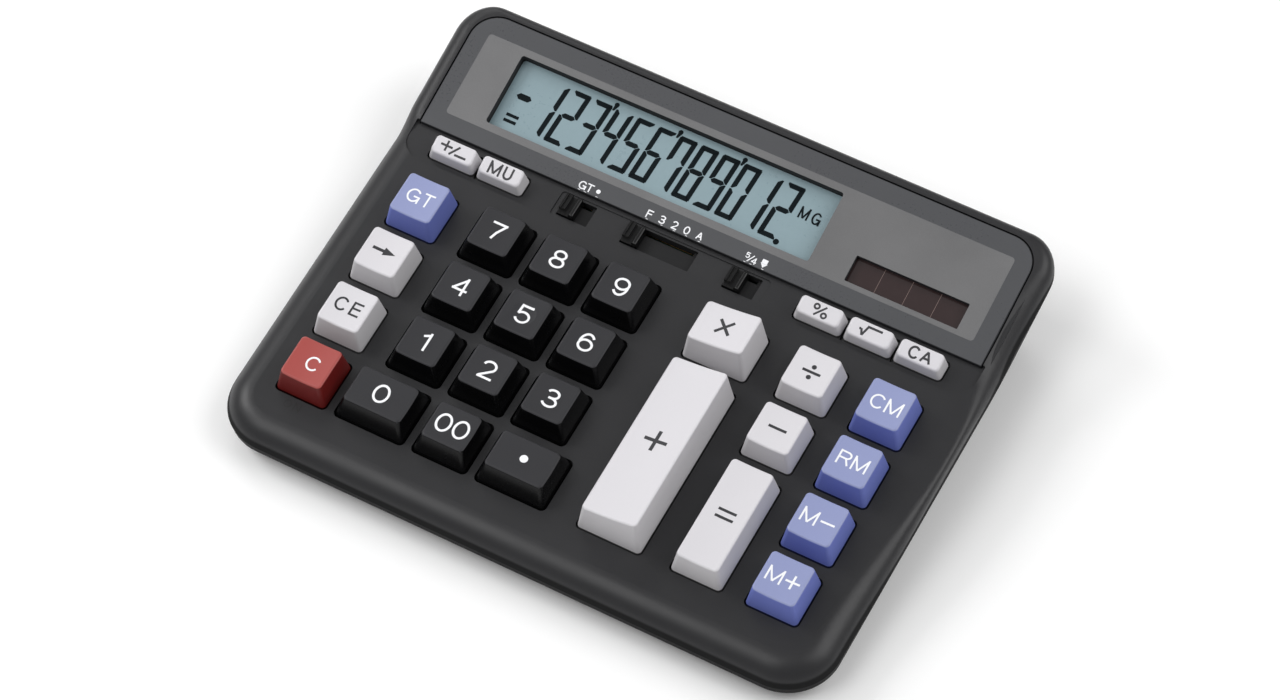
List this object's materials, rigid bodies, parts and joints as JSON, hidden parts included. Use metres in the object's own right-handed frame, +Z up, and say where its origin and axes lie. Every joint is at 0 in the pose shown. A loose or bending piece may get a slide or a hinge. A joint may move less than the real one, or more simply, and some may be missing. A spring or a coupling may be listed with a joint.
{
  "type": "desktop calculator",
  "caption": "Wide desktop calculator with a sloping liquid crystal display, a solar window, sprung keys and slide switches in a low wedge case.",
  "frame": {"origin": "centre of the case's outline on the desk, at the bottom of the feet", "axes": "+X to the right along the keyboard, +Y to the back towards the display, +Z up from the desk"},
  "size_m": [0.1816, 0.1442, 0.0327],
  "materials": {
    "case": "fine texture, satin",
    "base": "fine texture",
    "display_plate": "smoked acrylic, printed grey on the back",
    "lcd": "reflective display glass",
    "solar": "dark brown cells under glass",
    "key_black": "satin top, glossy sides",
    "key_white": "satin",
    "key_blue": "satin",
    "key_red": "satin",
    "knob": "satin",
    "silicone": "translucent grey silicone",
    "board": "resin board with copper tracks",
    "epoxy": "poured",
    "can": "drawn",
    "holder": "moulded",
    "ribbon": "film",
    "wire": "insulated",
    "contact": "sprung strip",
    "cell": "plated",
    "screw": "plated",
    "foot": "moulded"
  },
  "bodies": {
    "case": {"upper_case": "case", "lower_case": "base", "display_plate": "display_plate", "lcd_glass": "lcd", "solar_cell": "solar", "key_membrane": "silicone", "circuit_board": "board", "processor_blob": "epoxy", "capacitor": "can", "lcd_holder": "holder", "lcd_ribbon": "ribbon", "solar_leads": "wire", "button_cell": "cell", "battery_contacts": "contact", "board_screws": "screw", "case_screws": "screw", "rubber_feet": "foot"},
    "key_0": {"key_0": "key_black"},
    "key_1": {"key_1": "key_black"},
    "key_2": {"key_2": "key_black"},
    "key_3": {"key_3": "key_black"},
    "key_4": {"key_4": "key_black"},
    "key_5": {"key_5": "key_black"},
    "key_6": {"key_6": "key_black"},
    "key_7": {"key_7": "key_black"},
    "key_8": {"key_8": "key_black"},
    "key_9": {"key_9": "key_black"},
    "key_double_zero": {"key_double_zero": "key_black"},
    "key_point": {"key_point": "key_black"},
    "key_clear": {"key_clear": "key_red"},
    "key_clear_entry": {"key_clear_entry": "key_white"},
    "key_backspace": {"key_backspace": "key_white"},
    "key_grand_total": {"key_grand_total": "key_blue"},
    "key_memory_plus": {"key_memory_plus": "key_blue"},
    "key_memory_minus": {"key_memory_minus": "key_blue"},
    "key_memory_recall": {"key_memory_recall": "key_blue"},
    "key_memory_clear": {"key_memory_clear": "key_blue"},
    "key_equals": {"key_equals": "key_white"},
    "key_subtract": {"key_subtract": "key_white"},
    "key_divide": {"key_divide": "key_white"},
    "key_add": {"key_add": "key_white"},
    "key_multiply": {"key_multiply": "key_white"},
    "key_sign": {"key_sign": "key_white"},
    "key_markup": {"key_markup": "key_white"},
    "key_percent": {"key_percent": "key_white"},
    "key_root": {"key_root": "key_white"},
    "key_clear_all": {"key_clear_all": "key_white"},
    "switch_total": {"knob_total": "knob", "contact_total": "contact"},
    "switch_decimal": {"knob_decimal": "knob", "contact_decimal": "contact"},
    "switch_rounding": {"knob_rounding": "knob", "contact_rounding": "contact"},
    "battery_door": {"battery_door": "base"}
  },
  "joints": [
    {"name": "key_0_press", "type": "slide", "parent": "case", "child": "key_0", "axis": [0, 0.0872, -0.9962], "range_m": [0, 0.0025], "stiffness_N_per_m": 200, "springref_m": -0.0015, "deforming": ["key_membrane"]},
    {"name": "key_1_press", "type": "slide", "parent": "case", "child": "key_1", "axis": [0, 0.0872, -0.9962], "range_m": [0, 0.0025], "stiffness_N_per_m": 200, "springref_m": -0.0015, "deforming": ["key_membrane"]},
    {"name": "key_2_press", "type": "slide", "parent": "case", "child": "key_2", "axis": [0, 0.0872, -0.9962], "range_m": [0, 0.0025], "stiffness_N_per_m": 200, "springref_m": -0.0015, "deforming": ["key_membrane"]},
    {"name": "key_3_press", "type": "slide", "parent": "case", "child": "key_3", "axis": [0, 0.0872, -0.9962], "range_m": [0, 0.0025], "stiffness_N_per_m": 200, "springref_m": -0.0015, "deforming": ["key_membrane"]},
    {"name": "key_4_press", "type": "slide", "parent": "case", "child": "key_4", "axis": [0, 0.0872, -0.9962], "range_m": [0, 0.0025], "stiffness_N_per_m": 200, "springref_m": -0.0015, "deforming": ["key_membrane"]},
    {"name": "key_5_press", "type": "slide", "parent": "case", "child": "key_5", "axis": [0, 0.0872, -0.9962], "range_m": [0, 0.0025], "stiffness_N_per_m": 200, "springref_m": -0.0015, "deforming": ["key_membrane"]},
    {"name": "key_6_press", "type": "slide", "parent": "case", "child": "key_6", "axis": [0, 0.0872, -0.9962], "range_m": [0, 0.0025], "stiffness_N_per_m": 200, "springref_m": -0.0015, "deforming": ["key_membrane"]},
    {"name": "key_7_press", "type": "slide", "parent": "case", "child": "key_7", "axis": [0, 0.0872, -0.9962], "range_m": [0, 0.0025], "stiffness_N_per_m": 200, "springref_m": -0.0015, "deforming": ["key_membrane"]},
    {"name": "key_8_press", "type": "slide", "parent": "case", "child": "key_8", "axis": [0, 0.0872, -0.9962], "range_m": [0, 0.0025], "stiffness_N_per_m": 200, "springref_m": -0.0015, "deforming": ["key_membrane"]},
    {"name": "key_9_press", "type": "slide", "parent": "case", "child": "key_9", "axis": [0, 0.0872, -0.9962], "range_m": [0, 0.0025], "stiffness_N_per_m": 200, "springref_m": -0.0015, "deforming": ["key_membrane"]},
    {"name": "key_double_zero_press", "type": "slide", "parent": "case", "child": "key_double_zero", "axis": [0, 0.0872, -0.9962], "range_m": [0, 0.0025], "stiffness_N_per_m": 200, "springref_m": -0.0015, "deforming": ["key_membrane"]},
    {"name": "key_point_press", "type": "slide", "parent": "case", "child": "key_point", "axis": [0, 0.0872, -0.9962], "range_m": [0, 0.0025], "stiffness_N_per_m": 200, "springref_m": -0.0015, "deforming": ["key_membrane"]},
    {"name": "key_clear_press", "type": "slide", "parent": "case", "child": "key_clear", "axis": [0, 0.0872, -0.9962], "range_m": [0, 0.0025], "stiffness_N_per_m": 200, "springref_m": -0.0015, "deforming": ["key_membrane"]},
    {"name": "key_clear_entry_press", "type": "slide", "parent": "case", "child": "key_clear_entry", "axis": [0, 0.0872, -0.9962], "range_m": [0, 0.0025], "stiffness_N_per_m": 200, "springref_m": -0.0015, "deforming": ["key_membrane"]},
    {"name": "key_backspace_press", "type": "slide", "parent": "case", "child": "key_backspace", "axis": [0, 0.0872, -0.9962], "range_m": [0, 0.0025], "stiffness_N_per_m": 200, "springref_m": -0.0015, "deforming": ["key_membrane"]},
    {"name": "key_grand_total_press", "type": "slide", "parent": "case", "child": "key_grand_total", "axis": [0, 0.0872, -0.9962], "range_m": [0, 0.0025], "stiffness_N_per_m": 200, "springref_m": -0.0015, "deforming": ["key_membrane"]},
    {"name": "key_memory_plus_press", "type": "slide", "parent": "case", "child": "key_memory_plus", "axis": [0, 0.0872, -0.9962], "range_m": [0, 0.0025], "stiffness_N_per_m": 200, "springref_m": -0.0015, "deforming": ["key_membrane"]},
    {"name": "key_memory_minus_press", "type": "slide", "parent": "case", "child": "key_memory_minus", "axis": [0, 0.0872, -0.9962], "range_m": [0, 0.0025], "stiffness_N_per_m": 200, "springref_m": -0.0015, "deforming": ["key_membrane"]},
    {"name": "key_memory_recall_press", "type": "slide", "parent": "case", "child": "key_memory_recall", "axis": [0, 0.0872, -0.9962], "range_m": [0, 0.0025], "stiffness_N_per_m": 200, "springref_m": -0.0015, "deforming": ["key_membrane"]},
    {"name": "key_memory_clear_press", "type": "slide", "parent": "case", "child": "key_memory_clear", "axis": [0, 0.0872, -0.9962], "range_m": [0, 0.0025], "stiffness_N_per_m": 200, "springref_m": -0.0015, "deforming": ["key_membrane"]},
    {"name": "key_equals_press", "type": "slide", "parent": "case", "child": "key_equals", "axis": [0, 0.0872, -0.9962], "range_m": [0, 0.0025], "stiffness_N_per_m": 200, "springref_m": -0.0015, "deforming": ["key_membrane"]},
    {"name": "key_subtract_press", "type": "slide", "parent": "case", "child": "key_subtract", "axis": [0, 0.0872, -0.9962], "range_m": [0, 0.0025], "stiffness_N_per_m": 200, "springref_m": -0.0015, "deforming": ["key_membrane"]},
    {"name": "key_divide_press", "type": "slide", "parent": "case", "child": "key_divide", "axis": [0, 0.0872, -0.9962], "range_m": [0, 0.0025], "stiffness_N_per_m": 200, "springref_m": -0.0015, "deforming": ["key_membrane"]},
    {"name": "key_add_press", "type": "slide", "parent": "case", "child": "key_add", "axis": [0, 0.0872, -0.9962], "range_m": [0, 0.0025], "stiffness_N_per_m": 200, "springref_m": -0.0015, "deforming": ["key_membrane"]},
    {"name": "key_multiply_press", "type": "slide", "parent": "case", "child": "key_multiply", "axis": [0, 0.0872, -0.9962], "range_m": [0, 0.0025], "stiffness_N_per_m": 200, "springref_m": -0.0015, "deforming": ["key_membrane"]},
    {"name": "key_sign_press", "type": "slide", "parent": "case", "child": "key_sign", "axis": [0, 0.0872, -0.9962], "range_m": [0, 0.0025], "stiffness_N_per_m": 200, "springref_m": -0.0015, "deforming": ["key_membrane"]},
    {"name": "key_markup_press", "type": "slide", "parent": "case", "child": "key_markup", "axis": [0, 0.0872, -0.9962], "range_m": [0, 0.0025], "stiffness_N_per_m": 200, "springref_m": -0.0015, "deforming": ["key_membrane"]},
    {"name": "key_percent_press", "type": "slide", "parent": "case", "child": "key_percent", "axis": [0, 0.0872, -0.9962], "range_m": [0, 0.0025], "stiffness_N_per_m": 200, "springref_m": -0.0015, "deforming": ["key_membrane"]},
    {"name": "key_root_press", "type": "slide", "parent": "case", "child": "key_root", "axis": [0, 0.0872, -0.9962], "range_m": [0, 0.0025], "stiffness_N_per_m": 200, "springref_m": -0.0015, "deforming": ["key_membrane"]},
    {"name": "key_clear_all_press", "type": "slide", "parent": "case", "child": "key_clear_all", "axis": [0, 0.0872, -0.9962], "range_m": [0, 0.0025], "stiffness_N_per_m": 200, "springref_m": -0.0015, "deforming": ["key_membrane"]},
    {"name": "total_slide", "type": "slide", "parent": "case", "child": "switch_total", "axis": [1, 0, 0], "range_m": [0, 0.00385]},
    {"name": "decimal_slide", "type": "slide", "parent": "case", "child": "switch_decimal", "axis": [1, 0, 0], "range_m": [0, 0.0154]},
    {"name": "rounding_slide", "type": "slide", "parent": "case", "child": "switch_rounding", "axis": [1, 0, 0], "range_m": [0, 0.00385]},
    {"name": "battery_door_slide", "type": "slide", "parent": "case", "child": "battery_door", "axis": [0, 1, 0], "range_m": [0, 0.022]}
  ]
}
